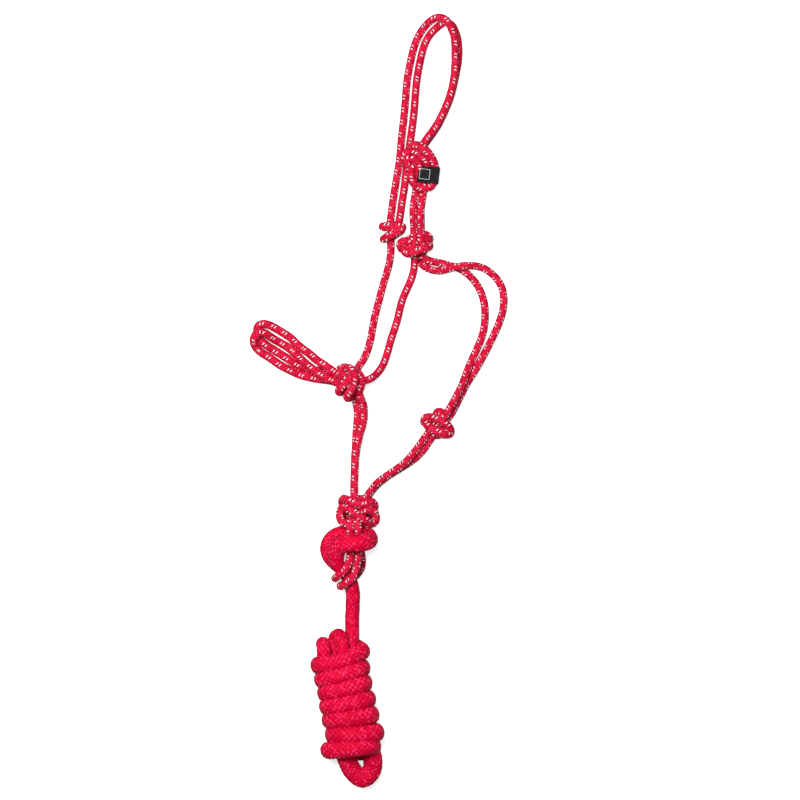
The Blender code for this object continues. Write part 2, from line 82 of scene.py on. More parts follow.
# ---- Rope routes: points that each span's centre line passes through, in millimetres ----
ROUTES = {
    "crown_strand_outer": [
        (13, 202.5, 4), (15.5, 221, 4), (19, 243, 4), (22.5, 265, 4), (24.5, 287, 4), (27, 309, 4),
        (29, 331, 4), (31, 353, 4), (35, 375, 4), (41, 396, 4), (48, 408.5, 5.5), (56, 417, 9),
        (65.5, 421, 12), (73, 418.5, 12.5), (78.5, 410.5, 12.5), (82.5, 399.5, 12.5), (83.5, 386, 12.5),
        (83.5, 373, 12.5), (82.5, 357.5, 12.5), (80, 343, 12.5), (76, 330, 12.5), (70.5, 317, 12.5),
        (63.5, 303.5, 12.5), (56.5, 293.5, 12.5), (51, 286, 13),
    ],
    "crown_strand_inner": [
        (23, 202.5, 4), (25, 216.5, 4), (27.5, 232, 4), (30, 254, 4), (33, 276, 4), (35, 290.5, 4),
        (37.5, 309, 4), (39.5, 331, 4), (41.5, 353, 4), (45.5, 375, 4), (51.5, 395, 4), (58, 405, 4),
        (65.5, 412, 4), (72.5, 416, 4), (79, 414, 4), (83.5, 407, 4), (86.5, 397, 4), (87.5, 386, 4),
        (87, 374, 4), (84.5, 359.5, 4), (81.5, 345.5, 4), (77.5, 331.5, 4), (72, 318, 4), (65.5, 304.5, 4),
        (58.5, 293.5, 4), (53, 286, 4),
    ],
    "tie_loop_strand_left": [(40, 229, 4), (38.5, 220, 4), (37.5, 211, 4), (37.5, 202.5, 4)],
    "tie_loop_strand_right": [(48.5, 229, 4), (47.5, 220, 4), (46, 211, 4), (46, 202.5, 4)],
    "cheek_strand_off": [
        (13, 171.5, 4), (12.5, 159.5, 4), (10, 146.5, 4), (6, 133, 4), (0, 111, 4), (-5.5, 89, 4),
        (-9.5, 67, 4), (-13, 55, 4), (-17, 46, 4), (-21, 40, 4),
    ],
    "cheek_strand_near": [
        (39, 154, 4), (38.5, 146.5, 4), (35, 133, 4), (25.5, 111, 4), (20, 89, 4), (13, 67, 4),
        (6.5, 45, 5), (1.5, 35, 8), (-3.5, 29, 12), (-8.5, 25, 15.5),
    ],
    "chin_strand_off": [
        (-26, 3.5, 4), (-24, -10, 4), (-24, -21, 4), (-25, -32, 4), (-25.5, -45, 4), (-26.5, -59.5, 4),
        (-27, -76, 4), (-27.5, -90, 4), (-27.5, -100, 4),
    ],
    "chin_strand_near": [
        (-18, -1, 13.5), (-16.5, -8, 10.5), (-16.5, -14, 9.5), (-17, -22, 9.5), (-20, -33, 11),
        (-23, -45, 12), (-25.5, -59.5, 12.5), (-26.5, -76, 12.5), (-27, -90, 12.5), (-27, -100, 12.5),
    ],
    "noseband_rope_upper": [
        (-48, 31, 13), (-59.2, 39, 12.5), (-67.7, 44.6, 10.5), (-76.3, 51.9, 6.5), (-87, 59.8, 4),
        (-97.6, 69.7, 4), (-108.7, 76.9, 4), (-119, 82.7, 4), (-126.5, 84.6, 4), (-132.2, 82.8, 4),
        (-134, 76.5, 4), (-131.8, 69, 4), (-126.2, 63.2, 4), (-118.5, 58, 4), (-109, 52.1, 4), (-98, 45, 4),
        (-87, 39, 4), (-76, 35, 4), (-65, 33, 4), (-48, 31, 4),
    ],
    "noseband_rope_lower": [
        (-51, 22.5, 12.5), (-64, 29, 12.5), (-73.5, 35.5, 12.5), (-82.5, 43, 10.5), (-92.5, 52.5, 5),
        (-101, 59.5, 4), (-110.6, 65.2, 5), (-120.6, 71.4, 9), (-127.5, 75, 12.5), (-133.2, 74.6, 13),
        (-136.7, 70, 13), (-136.7, 62.2, 8), (-131.5, 55, 4), (-121.2, 48.3, 4), (-109, 39.7, 4),
        (-98, 34, 4), (-87, 29, 4), (-76, 26, 4), (-65, 24, 4), (-51, 22, 4),
    ],
    "throat_strand_inner": [
        (53.5, 155, 4), (64, 152.5, 4), (76, 149.5, 4), (87, 146, 4), (95.5, 141, 4), (103, 134, 4),
        (109, 125.5, 4), (113.5, 115.5, 4), (116, 104.5, 4), (116.5, 93.5, 4), (115.5, 81.5, 4),
        (112, 68, 4), (106.5, 55, 4), (101, 43, 5.5), (95.5, 29.5, 10.5), (91, 17.5, 11.5), (85, 5.5, 12),
        (79.5, -4.5, 12), (74.5, -13, 12),
    ],
    "throat_strand_outer": [
        (52, 146.5, 4), (58.5, 144, 5), (66, 143, 8), (76, 145, 12), (86, 147.5, 13), (94.5, 148.5, 11),
        (104.5, 148.5, 6), (113.5, 146.5, 4), (122, 141.5, 4), (130, 133.5, 4), (135, 124.5, 4),
        (137, 113.5, 4), (136.5, 102.5, 4), (133, 89, 4), (126.5, 73.5, 4), (118.5, 57, 4), (111.5, 44, 4),
        (103, 29.5, 4), (95.5, 17.5, 4), (89.5, 5.5, 4), (84, -5.5, 4), (79, -14.5, 4),
    ],
    "throat_to_fiador_strand_upper": [
        (54.5, -34, 9.5), (48, -43.5, 10), (39.5, -55, 11), (31.5, -64.5, 12), (21.5, -73, 12.5),
        (11.5, -80, 12.5), (2, -87, 12.5),
    ],
    "throat_to_fiador_strand_lower": [
        (59, -38.5, 4), (53, -47.5, 4), (44, -59, 4), (33.5, -67.5, 4), (22.5, -74.5, 4), (12, -81, 4),
        (2.5, -88, 4),
    ],
    "fiador_strand_upper": [(9, -82, 12.5), (-2, -90, 12.5), (-8, -97, 12.5), (-12.5, -103.5, 12.5)],
    "fiador_strand_lower": [(9.5, -82.5, 4), (-1.5, -91.5, 4), (-7.5, -98, 4), (-12, -104.5, 4)],
    "fiador_loop_left": [
        (-31.5, -141, 27), (-31.5, -148.5, 27.5), (-31.5, -158.5, 27.5), (-31.5, -168.5, 27.5),
        (-33.5, -178, 28.5), (-39, -187, 28.2), (-44, -190.8, 25.6), (-47.5, -193.6, 21),
        (-48.3, -194.5, 16), (-45.5, -192.5, 8.5), (-38.5, -187.5, 4), (-32, -181.5, 4), (-29, -175, 6),
        (-29.5, -166, 11.5), (-31, -156, 17.5), (-31.5, -148.5, 19), (-31.5, -142, 19),
    ],
    "fiador_loop_right": [
        (-22.5, -141, 27), (-22.5, -148.5, 27.5), (-22.5, -158.5, 27.5), (-22.5, -168.5, 27.5),
        (-24, -179.5, 28), (-27, -189, 28.5), (-32, -197, 27.8), (-39.5, -202, 23.2), (-42.5, -203, 16),
        (-39.5, -201.5, 8.5), (-32.5, -197.5, 4), (-25.5, -192, 4), (-20, -184.5, 5.5), (-18.5, -174, 10.5),
        (-20.5, -161.5, 17), (-22.5, -150.5, 19), (-23, -142, 19),
    ],
    "lead_rope_end_loop": [
        (-28.5, -216, 12), (-29, -207, 15), (-32, -197, 16), (-37.5, -187.5, 16), (-46, -179.5, 12.5),
        (-54, -171.5, 9), (-57, -161.5, 7.5), (-52.5, -151, 7), (-42, -145, 7), (-29.5, -144, 7),
        (-20, -144.5, 8), (-11.5, -147, 13), (-10, -151, 25), (-13.3, -153.5, 34.5), (-22, -154.8, 40),
        (-32, -155, 39.5), (-41, -157.5, 36), (-46.2, -164.5, 30), (-46.5, -172.5, 27),
    ],
    "lead_rope_run": [(-29, -223.5, 9.5), (-29, -229, 8), (-29.5, -235.5, 7)],
    "lead_rope_neck": [(-29.5, -243, 7), (-29.5, -252, 9), (-29.5, -260.5, 14.5), (-29.5, -270, 20)],
}


# ---- Curves and tubes ----
def in_metres(route):
    """A route's points, which are written in millimetres, in metres."""
    return [tuple(value / 1000 for value in point) for point in route]


def smooth(points, step):
    """Read points about a step apart from the natural cubic spline through a route."""
    route = np.asarray(points, float)
    count = len(route)
    along = np.concatenate([[0.0], np.cumsum(np.linalg.norm(np.diff(route, axis=0), axis=1))])
    gaps = np.diff(along)
    system = np.eye(count)
    target = np.zeros((count, 3))
    for i in range(1, count - 1):
        system[i, i - 1:i + 2] = gaps[i - 1], 2 * (gaps[i - 1] + gaps[i]), gaps[i]
        ahead = (route[i + 1] - route[i]) / gaps[i]
        behind = (route[i] - route[i - 1]) / gaps[i - 1]
        target[i] = 6 * (ahead - behind)
    second = np.linalg.solve(system, target)
    places = np.linspace(0.0, along[-1], max(2, round(along[-1] / step) + 1))
    k = np.clip(np.searchsorted(along, places, side="right") - 1, 0, count - 2)
    u = ((along[k + 1] - places) / gaps[k])[:, None]
    v = 1 - u
    bend = (gaps[k] ** 2 / 6)[:, None]
    return u * route[k] + v * route[k + 1] + bend * ((u**3 - u) * second[k] + (v**3 - v) * second[k + 1])


def braid_height(u, v, carriers, pitch):
    """Height of a braid's surface, 0 in the gaps and 1 on the carriers. u is turns round, v metres along."""
    a = math.pi * carriers * (u + v / pitch)
    b = math.pi * carriers * (u - v / pitch)
    over = 0.5 + 0.5 * np.tanh(CROSSING_SHARPNESS * np.sin(a) * np.sin(b))
    high_a, high_b = np.abs(np.sin(a)), np.abs(np.sin(b))
    crown_a = high_a ** CARRIER_ROUNDNESS * (1 - CARRIER_HUMP + CARRIER_HUMP * high_b)
    crown_b = high_b ** CARRIER_ROUNDNESS * (1 - CARRIER_HUMP + CARRIER_HUMP * high_a)
    return over * crown_a + (1 - over) * crown_b


def tube(points, diameter, braid, sides, phase=0.0, sizes=None, outward=None, broad=1.0):
    """A braided tube round a line of points: its rings of corners and each ring's place along it.

    With outward, the directions that face away from what the cord is pressed on, the section
    is broad times as wide as it is thick.
    """
    points = np.asarray(points, float)
    count = len(points)
    tangents = np.gradient(points, axis=0)
    tangents /= np.linalg.norm(tangents, axis=1)[:, None]
    normal = np.cross(tangents[0], (0.0, 0.0, 1.0))
    if np.linalg.norm(normal) < 0.1:
        normal = np.cross(tangents[0], (1.0, 0.0, 0.0))
    normals = np.zeros((count, 3))
    for i in range(count):
        normal = normal - tangents[i] * (normal @ tangents[i])
        normal /= np.linalg.norm(normal)
        normals[i] = normal
    if outward is not None:
        normals = outward - tangents * (outward * tangents).sum(1)[:, None]
        normals /= np.linalg.norm(normals, axis=1)[:, None]
    binormals = np.cross(normals, tangents)
    broad = np.broadcast_to(broad, count)[:, None]
    steps = np.linalg.norm(np.diff(points, axis=0), axis=1)
    places = np.concatenate([[0.0], np.cumsum(steps)])
    u = np.arange(sides) / sides
    carriers, pitch, depth = braid
    height = braid_height(u[None, :] + phase, places[:, None], carriers, pitch)
    radius = diameter / 2 * (1 - depth * (1 - height))
    if sizes is not None:
        radius = radius * np.asarray(sizes)[:, None]
    angle = 2 * math.pi * u
    rings = (
        points[:, None, :]
        + (radius * np.cos(angle))[:, :, None] * normals[:, None, :]
        + (radius * np.sin(angle) * broad)[:, :, None] * binormals[:, None, :]
    )
    rings[:, :, 2] = np.maximum(rings[:, :, 2], 0.0)
    return rings, places, phase


def make_piece(name, tubes, look):
    """One mesh of one or more tubes, each closed at both ends."""
    corners, faces, turns, places = [], [], [], []
    base = 0
    for rings, along, phase in tubes:
        count, sides = rings.shape[:2]
        corners.append(rings.reshape(-1, 3))
        ring, side = np.meshgrid(np.arange(count - 1), np.arange(sides), indexing="ij")
        after = (side + 1) % sides
        low, high = base + ring * sides, base + (ring + 1) * sides
        faces.append(np.stack([low + side, low + after, high + after, high + side], -1).reshape(-1, 4))
        left, right = side / sides + phase, (side + 1) / sides + phase
        turns.append(np.stack([left, right, right, left], -1).reshape(-1, 4))
        near, far = along[ring], along[ring + 1]
        places.append(np.stack([near, near, far, far], -1).reshape(-1, 4))
        base += count * sides
    quads = np.concatenate(faces)
    corner_list = np.concatenate(corners)
    caps, cap_uvs, hubs = [], [], []
    base = 0
    for rings, along, _ in tubes:
        count, sides = rings.shape[:2]
        for row in (0, count - 1):
            hub = len(corner_list) + len(hubs)
            hubs.append(rings[row].mean(0))
            for side in range(sides):
                here, after = base + row * sides + side, base + row * sides + (side + 1) % sides
                caps.append((hub, here, after) if row else (hub, after, here))
                cap_uvs += [(0.5, along[row])] * 3
        base += count * sides
    corner_list = np.concatenate([corner_list, np.array(hubs)])
    mesh = bpy.data.meshes.new(name)
    mesh.vertices.add(len(corner_list))
    mesh.vertices.foreach_set("co", corner_list.astype(np.float32).ravel())
    loops = np.concatenate([quads.ravel(), np.array(caps, int).ravel()]).astype(np.int32)
    sizes = np.concatenate([np.full(len(quads), 4), np.full(len(caps), 3)])
    starts = np.concatenate([[0], np.cumsum(sizes)[:-1]])
    mesh.loops.add(len(loops))
    mesh.loops.foreach_set("vertex_index", loops)
    mesh.polygons.add(len(sizes))
    mesh.polygons.foreach_set("loop_start", starts.astype(np.int32))
    mesh.polygons.foreach_set("loop_total", sizes.astype(np.int32))
    mesh.update(calc_edges=True)
    layer = mesh.uv_layers.new(name="rope")
    uvs = np.stack([np.concatenate(turns).ravel(), np.concatenate(places).ravel()], -1)
    uvs = np.concatenate([uvs, np.array(cap_uvs)])
    layer.data.foreach_set("uv", uvs.astype(np.float32).ravel())
    mesh.polygons.foreach_set("use_smooth", np.ones(len(sizes), bool))
    mesh.materials.append(look)
    mesh.validate()
    made = bpy.data.objects.new(name, mesh)
    bpy.context.scene.collection.objects.link(made)
    return made


# ---- Materials ----
class Nodes:
    """A short way to write a material's node tree."""

    def __init__(self, name):
        self.material = bpy.data.materials.new(name)
        self.material.use_nodes = True
        self.tree = self.material.node_tree
        self.shader = self.tree.nodes["Principled BSDF"]

    def add(self, kind, **settings):
        """Add a node and set its properties."""
        node = self.tree.nodes.new(kind)
        for key, value in settings.items():
            setattr(node, key, value)
        return node

    def put(self, socket, value):
        """Link an output to a socket, or set the socket's number."""
        if hasattr(value, "is_output"):
            self.tree.links.new(value, socket)
        else:
            socket.default_value = value

    def math(self, operation, *values):
        """A Math node's result."""
        node = self.add("ShaderNodeMath", operation=operation)
        for socket, value in zip(node.inputs, values):
            self.put(socket, value)
        return node.outputs[0]

    def mix(self, share, first, second):
        """A mix of two colours."""
        node = self.add("ShaderNodeMix", data_type="RGBA")
        self.put(node.inputs["Factor"], share)
        self.put(node.inputs[6], first if hasattr(first, "is_output") else (*first, 1.0))
        self.put(node.inputs[7], second if hasattr(second, "is_output") else (*second, 1.0))
        return node.outputs[2]

    def ramp(self, value, low, high):
        """A smooth step from 0 at low to 1 at high."""
        node = self.add("ShaderNodeMapRange", interpolation_type="SMOOTHSTEP")
        self.put(node.inputs["Value"], value)
        node.inputs["From Min"].default_value = low
        node.inputs["From Max"].default_value = high
        return node.outputs[0]

    def noise(self, vector, scale, detail=2.0):
        """A noise texture's value."""
        node = self.add("ShaderNodeTexNoise")
        self.put(node.inputs["Vector"], vector)
        node.inputs["Scale"].default_value = scale
        node.inputs["Detail"].default_value = detail
        return node.outputs[0]


def rope_look(name, braid, colours, fleck=None, strands=3, unevenness=0.3):
    """Braided polyester: carriers of several yarns each, painted shade in the gaps, a painted highlight on
    some crests, and optional tracer flecks.
    """
    dark, body, light = colours
    carriers, pitch, _ = braid
    n = Nodes(name)
    n.shader.inputs["Roughness"].default_value = 0.62
    n.shader.inputs["Specular IOR Level"].default_value = 0.06
    uv = n.add("ShaderNodeUVMap", uv_map="rope")
    split = n.add("ShaderNodeSeparateXYZ")
    n.put(split.inputs[0], uv.outputs[0])
    round_it, along = split.outputs[0], split.outputs[1]
    place = n.add("ShaderNodeNewGeometry").outputs["Position"]
    uneven = n.math("MULTIPLY", n.math("SUBTRACT", n.noise(place, 260.0, 1.0), 0.5), unevenness)
    turned = n.math("ADD", n.math("MULTIPLY", round_it, float(carriers)), uneven)
    run = n.math("MULTIPLY", along, carriers / pitch)
    a = n.math("ADD", turned, run)
    b = n.math("SUBTRACT", turned, run)
    sine_a = n.math("SINE", n.math("MULTIPLY", a, math.pi))
    sine_b = n.math("SINE", n.math("MULTIPLY", b, math.pi))
    over = n.ramp(n.math("MULTIPLY", sine_a, sine_b), -0.06, 0.06)
    high_a, high_b = n.math("ABSOLUTE", sine_a), n.math("ABSOLUTE", sine_b)

    def pick(first, second):
        """The first value where family a lies on top, and the second elsewhere."""
        return n.math("ADD", second, n.math("MULTIPLY", over, n.math("SUBTRACT", first, second)))

    height = pick(high_a, high_b)
    across = pick(a, b)
    yarns = n.math("ABSOLUTE", n.math("SINE", n.math("MULTIPLY", across, math.pi * strands)))
    patch = n.noise(place, 35.0, 3.0)
    fuzz = n.noise(place, 2600.0, 2.0)
    stitch = n.add("ShaderNodeTexWhiteNoise", noise_dimensions="2D")
    cell = n.add("ShaderNodeCombineXYZ")
    n.put(cell.inputs[0], n.math("FLOOR", a))
    n.put(cell.inputs[1], n.math("FLOOR", b))
    n.put(stitch.inputs["Vector"], cell.outputs[0])
    # Painted shade: the colour darkens from the carriers' tops down into the gaps between them
    lit = n.ramp(height, 0.0, 0.85)
    tone = n.mix(lit, dark, body)
    # Painted highlight: the crests of stitches picked at random are lightened towards the light colour, more
    # strongly along each yarn
    crest = n.math("MULTIPLY", n.ramp(height, 0.62, 1.0), n.ramp(stitch.outputs[0], 0.25, 0.95))
    tone = n.mix(n.math("MULTIPLY", crest, n.math("ADD", 0.45, n.math("MULTIPLY", yarns, 0.5))), tone, light)
    worn = n.math("MULTIPLY", n.ramp(patch, 0.42, 0.72), 0.22)
    tone = n.mix(worn, tone, dark)
    if fleck:
        columns = n.math("MULTIPLY", round_it, float(FLECK_COLUMNS))
        column = n.math("ROUND", columns)
        aside = n.math("MULTIPLY", n.math("SUBTRACT", columns, column), math.pi * ROPE / FLECK_COLUMNS)
        odd = n.math("FLOORED_MODULO", column, 2.0)
        start = n.math("MULTIPLY", odd, FLECK_PITCH / 2)
        slanted = n.math("SUBTRACT", n.math("ADD", along, start), n.math("MULTIPLY", aside, FLECK_SLANT))
        wrapped = n.math("FLOORED_MODULO", slanted, FLECK_PITCH)
        away = n.math("ABSOLUTE", n.math("SUBTRACT", wrapped, FLECK_PITCH / 2))
        from_dash = n.math("ABSOLUTE", n.math("SUBTRACT", away, FLECK_APART / 2))
        inside = n.math("SUBTRACT", 1.0, n.ramp(n.math("ABSOLUTE", aside), 0.0010, 0.0017))
        dash = n.math("MULTIPLY", inside, n.math("SUBTRACT", 1.0, n.ramp(from_dash, 0.0003, 0.0008)))
        between = n.math("MULTIPLY", inside, n.math("SUBTRACT", 1.0, n.ramp(away, 0.0003, 0.0011)))
        tone = n.mix(n.math("MULTIPLY", between, 0.85), tone, tuple(0.35 * part for part in dark))
        tone = n.mix(dash, tone, fleck)
    n.put(n.shader.inputs["Base Color"], tone)
    bumps = n.math("ADD", n.math("MULTIPLY", yarns, 0.5), n.math("MULTIPLY", fuzz, 0.5))
    bumps = n.math("ADD", bumps, n.math("MULTIPLY", height, 0.8))
    bump = n.add("ShaderNodeBump")
    bump.inputs["Strength"].default_value = 0.5
    bump.inputs["Distance"].default_value = 0.0003
    n.put(bump.inputs["Height"], bumps)
    n.put(n.shader.inputs["Normal"], bump.outputs[0])
    return n.material


def label_look():
    """Black woven label cloth: a fine warp and weft with a slightly lighter face."""
    n = Nodes("label_cloth")
    n.shader.inputs["Roughness"].default_value = 0.7
    n.shader.inputs["Specular IOR Level"].default_value = 0.2
    uv = n.add("ShaderNodeUVMap", uv_map="cloth")
    split = n.add("ShaderNodeSeparateXYZ")
    n.put(split.inputs[0], uv.outputs[0])
    thread = 2 * math.pi / 0.0005
    warp = n.math("SINE", n.math("MULTIPLY", split.outputs[0], thread))
    weft = n.math("SINE", n.math("MULTIPLY", split.outputs[1], thread))
    weave = n.math("MULTIPLY", warp, weft)
    tone = n.mix(n.ramp(weave, -0.6, 0.8), (0.002, 0.002, 0.002), (0.016, 0.016, 0.017))
    n.put(n.shader.inputs["Base Color"], tone)
    bump = n.add("ShaderNodeBump")
    bump.inputs["Strength"].default_value = 0.6
    bump.inputs["Distance"].default_value = 0.00015
    n.put(bump.inputs["Height"], weave)
    n.put(n.shader.inputs["Normal"], bump.outputs[0])
    return n.material


def thread_look():
    """Pale sewing thread."""
    n = Nodes("thread")
    n.shader.inputs["Roughness"].default_value = 0.55
    place = n.add("ShaderNodeNewGeometry").outputs["Position"]
    tone = n.mix(n.noise(place, 900.0), (0.55, 0.55, 0.55), (0.80, 0.80, 0.80))
    n.put(n.shader.inputs["Base Color"], tone)
    return n.material


def floor_look():
    """Pale studio paper."""
    n = Nodes("pale_floor")
    n.shader.inputs["Roughness"].default_value = 0.9
    place = n.add("ShaderNodeNewGeometry").outputs["Position"]
    tone = n.mix(n.noise(place, 3.0), (0.93, 0.93, 0.93), (0.95, 0.95, 0.95))
    n.put(n.shader.inputs["Base Color"], tone)
    n.put(n.shader.inputs["Emission Color"], tone)
    n.shader.inputs["Emission Strength"].default_value = 0.7
    return n.material


# ---- Camera, floor and lights ----
VIEW_CENTRE = (0.0231, 0.0011)
VIEW_WIDTH = 0.88
LENS = 200.0                  # millimetres, as the sensor's width is
SENSOR = 36.0
FLOOR_REACH = 6.0             # from the middle of the floor to its edges
FLOOR_DROP = 0.0004           # how far the floor lies under what rests on it
SKY_LIGHT = 0.12
KEY_LIGHT = ((-0.45, 0.55, 2.1), 1.0, 78.0)     # place, size and power
FILL_LIGHT = ((0.9, -0.7, 1.8), 1.4, 6.0)


def add_camera():
    """A camera straight above the halter."""
    data = bpy.data.cameras.new("camera")
    data.lens = LENS
    data.sensor_width = SENSOR
    data.clip_end = 50.0
    made = bpy.data.objects.new("camera", data)
    made.location = (*VIEW_CENTRE, VIEW_WIDTH * LENS / SENSOR)
    bpy.context.scene.collection.objects.link(made)
    bpy.context.scene.camera = made


def add_area(name, place, size, power):
    """A soft square light that shines on the frame's origin."""
    data = bpy.data.lights.new(name, "AREA")
    data.shape = "SQUARE"
    data.size = size
    data.energy = power
    made = bpy.data.objects.new(name, data)
    made.location = place
    toward = -Vector(place)
    made.rotation_mode = "QUATERNION"
    made.rotation_quaternion = toward.to_track_quat("-Z", "Y")
    bpy.context.scene.collection.objects.link(made)


def add_stage():
    """A pale floor and soft studio light."""
    mesh = bpy.data.meshes.new("floor")
    signs = ((-1, -1), (1, -1), (1, 1), (-1, 1))
    mesh.from_pydata([(x * FLOOR_REACH, y * FLOOR_REACH, -FLOOR_DROP) for x, y in signs], [], [(0, 1, 2, 3)])
    mesh.materials.append(floor_look())
    floor = bpy.data.objects.new("floor", mesh)
    bpy.context.scene.collection.objects.link(floor)
    # The pale floor lights nothing from below, so that the ropes' sides stay darker than their tops
    floor.visible_diffuse = False
    world = bpy.data.worlds.new("studio")
    world.use_nodes = True
    background = world.node_tree.nodes["Background"]
    background.inputs[0].default_value = (1.0, 1.0, 1.0, 1.0)
    background.inputs[1].default_value = SKY_LIGHT
    bpy.context.scene.world = world
    bpy.context.scene.view_settings.view_transform = "Standard"
    add_area("key", *KEY_LIGHT)
    add_area("fill", *FILL_LIGHT)


# ---- The halter's spans ----
# Where each span's cord goes on into its knots, past the route's first and last points, in millimetres
INTO_KNOT = {
    "crown_strand_outer": ((11.5, 190, 6), (46, 278, 12)),
    "crown_strand_inner": ((20.5, 190, 6), (48, 279, 5)),
    "tie_loop_strand_left": ((41.5, 242, 6), (38.5, 180, 20), (38.5, 173.5, 20.5), (39, 167, 13)),
    "tie_loop_strand_right": ((49.5, 242, 6), (46, 180, 19), (46, 174, 19.5), (46, 168, 12)),
    "cheek_strand_off": ((13, 178, 6), (-26, 32, 7)),
    "cheek_strand_near": ((39, 161, 8), (-16, 22, 19)),
    "chin_strand_off": ((-28, 12, 6), (-27, -109, 8)),
    "chin_strand_near": ((-22, 8, 18), (-26, -109, 16)),
    "noseband_rope_upper": ((-39, 26, 16), (-39, 27, 6)),
    "noseband_rope_lower": ((-40, 18, 16), (-40, 18, 6)),
    "throat_strand_inner": ((45, 161, 8), (69, -21, 14)),
    "throat_strand_outer": ((44, 154, 8), (72, -23, 8)),
    "throat_to_fiador_strand_upper": ((60, -27, 13), (-17, -111, 16)),
    "throat_to_fiador_strand_lower": ((64, -31, 8), (-16, -111, 8)),
    "fiador_loop_left": ((-31, -131, 24), (-30, -132, 18)),
    "fiador_loop_right": ((-24, -131, 24), (-24, -132, 18)),
}
# The throatlatch's strands go on over the CAD nodes that lead them into the fiador knot
FIADOR_LEGS = {
    "throat_to_fiador_strand_upper": "fiador_strand_upper",
    "throat_to_fiador_strand_lower": "fiador_strand_lower",
}
# Turn of the braid about each span, so that the flecks show where they do on the real one
FLECK_TURN = {
    "crown_strand_outer": 0.17, "crown_strand_inner": 0.0, "cheek_strand_off": 0.12,
    "cheek_strand_near": 0.0, "noseband_rope_upper": 0.28, "noseband_rope_lower": 0.26,
    "throat_strand_inner": 0.08, "throat_strand_outer": 0.16,
}
USUAL_FLECK_TURN = 0.1
NOSEBAND_BREADTH = 1.10       # how much wider than thick the noseband's strands lie


def span_route(name):
    """A span's whole centre line, from inside one knot to inside the next."""
    before, *after = INTO_KNOT[name]
    route = ROUTES[name]
    if name in FIADOR_LEGS:
        route = route[:-1] + ROUTES[FIADOR_LEGS[name]][1:]
    line = smooth(in_metres([before, *route, *after]), RING_STEP)
    line[:, 2] = np.maximum(line[:, 2], ROPE / 2)
    return line


def add_span(name, look, body=None, across=None):
    """A span of the halter's cord. It rides on one body, or, where it crosses the joint between two, is left
    in the frame on neither.
    """
    line = span_route(name)
    phase = FLECK_TURN.get(name, USUAL_FLECK_TURN)
    outward, broad = None, 1.0
    if name.startswith("noseband"):
        outward, broad = np.tile((0.0, 0.0, 1.0), (len(line), 1)), NOSEBAND_BREADTH
    rings = tube(line, ROPE, HALTER_BRAID, ROPE_SIDES, phase=phase, outward=outward, broad=broad)
    made = make_piece(f"cord_{name}", [rings], look)
    if across:
        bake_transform(made)
    else:
        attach(made, body)
    nodes = [name] + ([FIADOR_LEGS[name]] if name in FIADOR_LEGS else [])
    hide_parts(*nodes)


# Where each joint's bend starts and ends, measured from a point on its axis
CROWN_BEND = ("halter", "crown", (0.020, 0.1950, 0.004), (0.020, 0.2130, 0.004))
NOSE_BEND = ("halter", "noseband", (-0.0495, 0.02495, 0.0), (-0.0650, 0.03402, 0.0))
THROAT_BEND = ("halter", "throatlatch", (0.0500, 0.1484, 0.0), (0.0660, 0.1452, 0.0))
# Along Y, where the lead rope's eye and run meet its neck, and where that meets the hank
LEAD_SEAM = -0.2330
HANK_SEAM = -0.2620


def add_spans(look):
    """Every span of the headpiece."""
    for name in ("crown_strand_outer", "crown_strand_inner", "tie_loop_strand_left", "tie_loop_strand_right"):
        add_span(name, look, across=CROWN_BEND)
    for name in ("cheek_strand_off", "cheek_strand_near", "chin_strand_off", "chin_strand_near",
                 "fiador_loop_left", "fiador_loop_right"):
        add_span(name, look, body="halter")
    for name in ("noseband_rope_upper", "noseband_rope_lower"):
        add_span(name, look, across=NOSE_BEND)
    for name in ("throat_strand_inner", "throat_strand_outer",
                 "throat_to_fiador_strand_upper", "throat_to_fiador_strand_lower"):
        add_span(name, look, across=THROAT_BEND)


# ---- Knots ----
# The passes of cord that show in each knot, in millimetres, with plain ones hidden beneath them.
# The tie loop's strands come down over the near cheek knot's upper band
CHEEK_KNOT_NEAR = {
    "upper_band": [
        (25.3, 166.1, 8), (23.1, 171.6, 12), (27, 175, 15), (34.1, 174.5, 14), (42.9, 175.5, 13.5),
        (50.6, 177.6, 16.5), (54.5, 176.5, 13), (54, 171, 8),
    ],
    "lower_band": [
        (27.5, 170.5, 8), (27.5, 165, 12.5), (31.4, 161.7, 17), (38.5, 163.4, 20.5), (46.2, 165.6, 21),
        (52.5, 168, 18.5), (55.5, 170.5, 13), (53, 175, 8),
    ],
    "shoulder": [(45.5, 178, 9), (49, 182.5, 11.5), (53.5, 181.5, 12), (56.1, 177.1, 9)],
    "middle": [(30, 169, 12), (38.5, 169.5, 13), (50, 171.5, 12)],
    "back": [(28, 172, 6), (35, 179, 5), (48, 178, 5), (50, 166, 5), (38, 161, 5), (28, 168, 6)],
}
THROAT_KNOT = {
    "upper_band": [
        (49.5, -24.2, 7.5), (50.1, -19.3, 12), (55, -17.6, 16), (62.7, -19.3, 18.5), (70.4, -23.1, 18.5),
        (76.5, -28.1, 15.5), (78.7, -33.6, 11), (75.9, -36.3, 7),
    ],
    "lower_band": [
        (52.8, -16.5, 8), (50.6, -21.5, 11), (52.8, -26.4, 15), (59.4, -30.8, 18), (66, -35, 18),
        (72.6, -36.9, 15.5), (78.1, -35.5, 11.5), (78.1, -29.7, 7.5),
    ],
    "top_bump": [(62.7, -16, 6), (64, -12, 9), (67.7, -11.8, 10.5), (70.4, -16.5, 9)],
    "bottom_bump": [(58, -33, 6), (62.2, -37.4, 7.5), (67, -37, 7)],
    "middle": [(56, -22, 9), (64, -26.5, 10), (73, -32, 9)],
    "back": [(54, -22, 5), (64, -18, 4.8), (74, -26, 4.8), (72, -34, 4.8), (62, -33, 4.8), (55, -25, 5)],
}
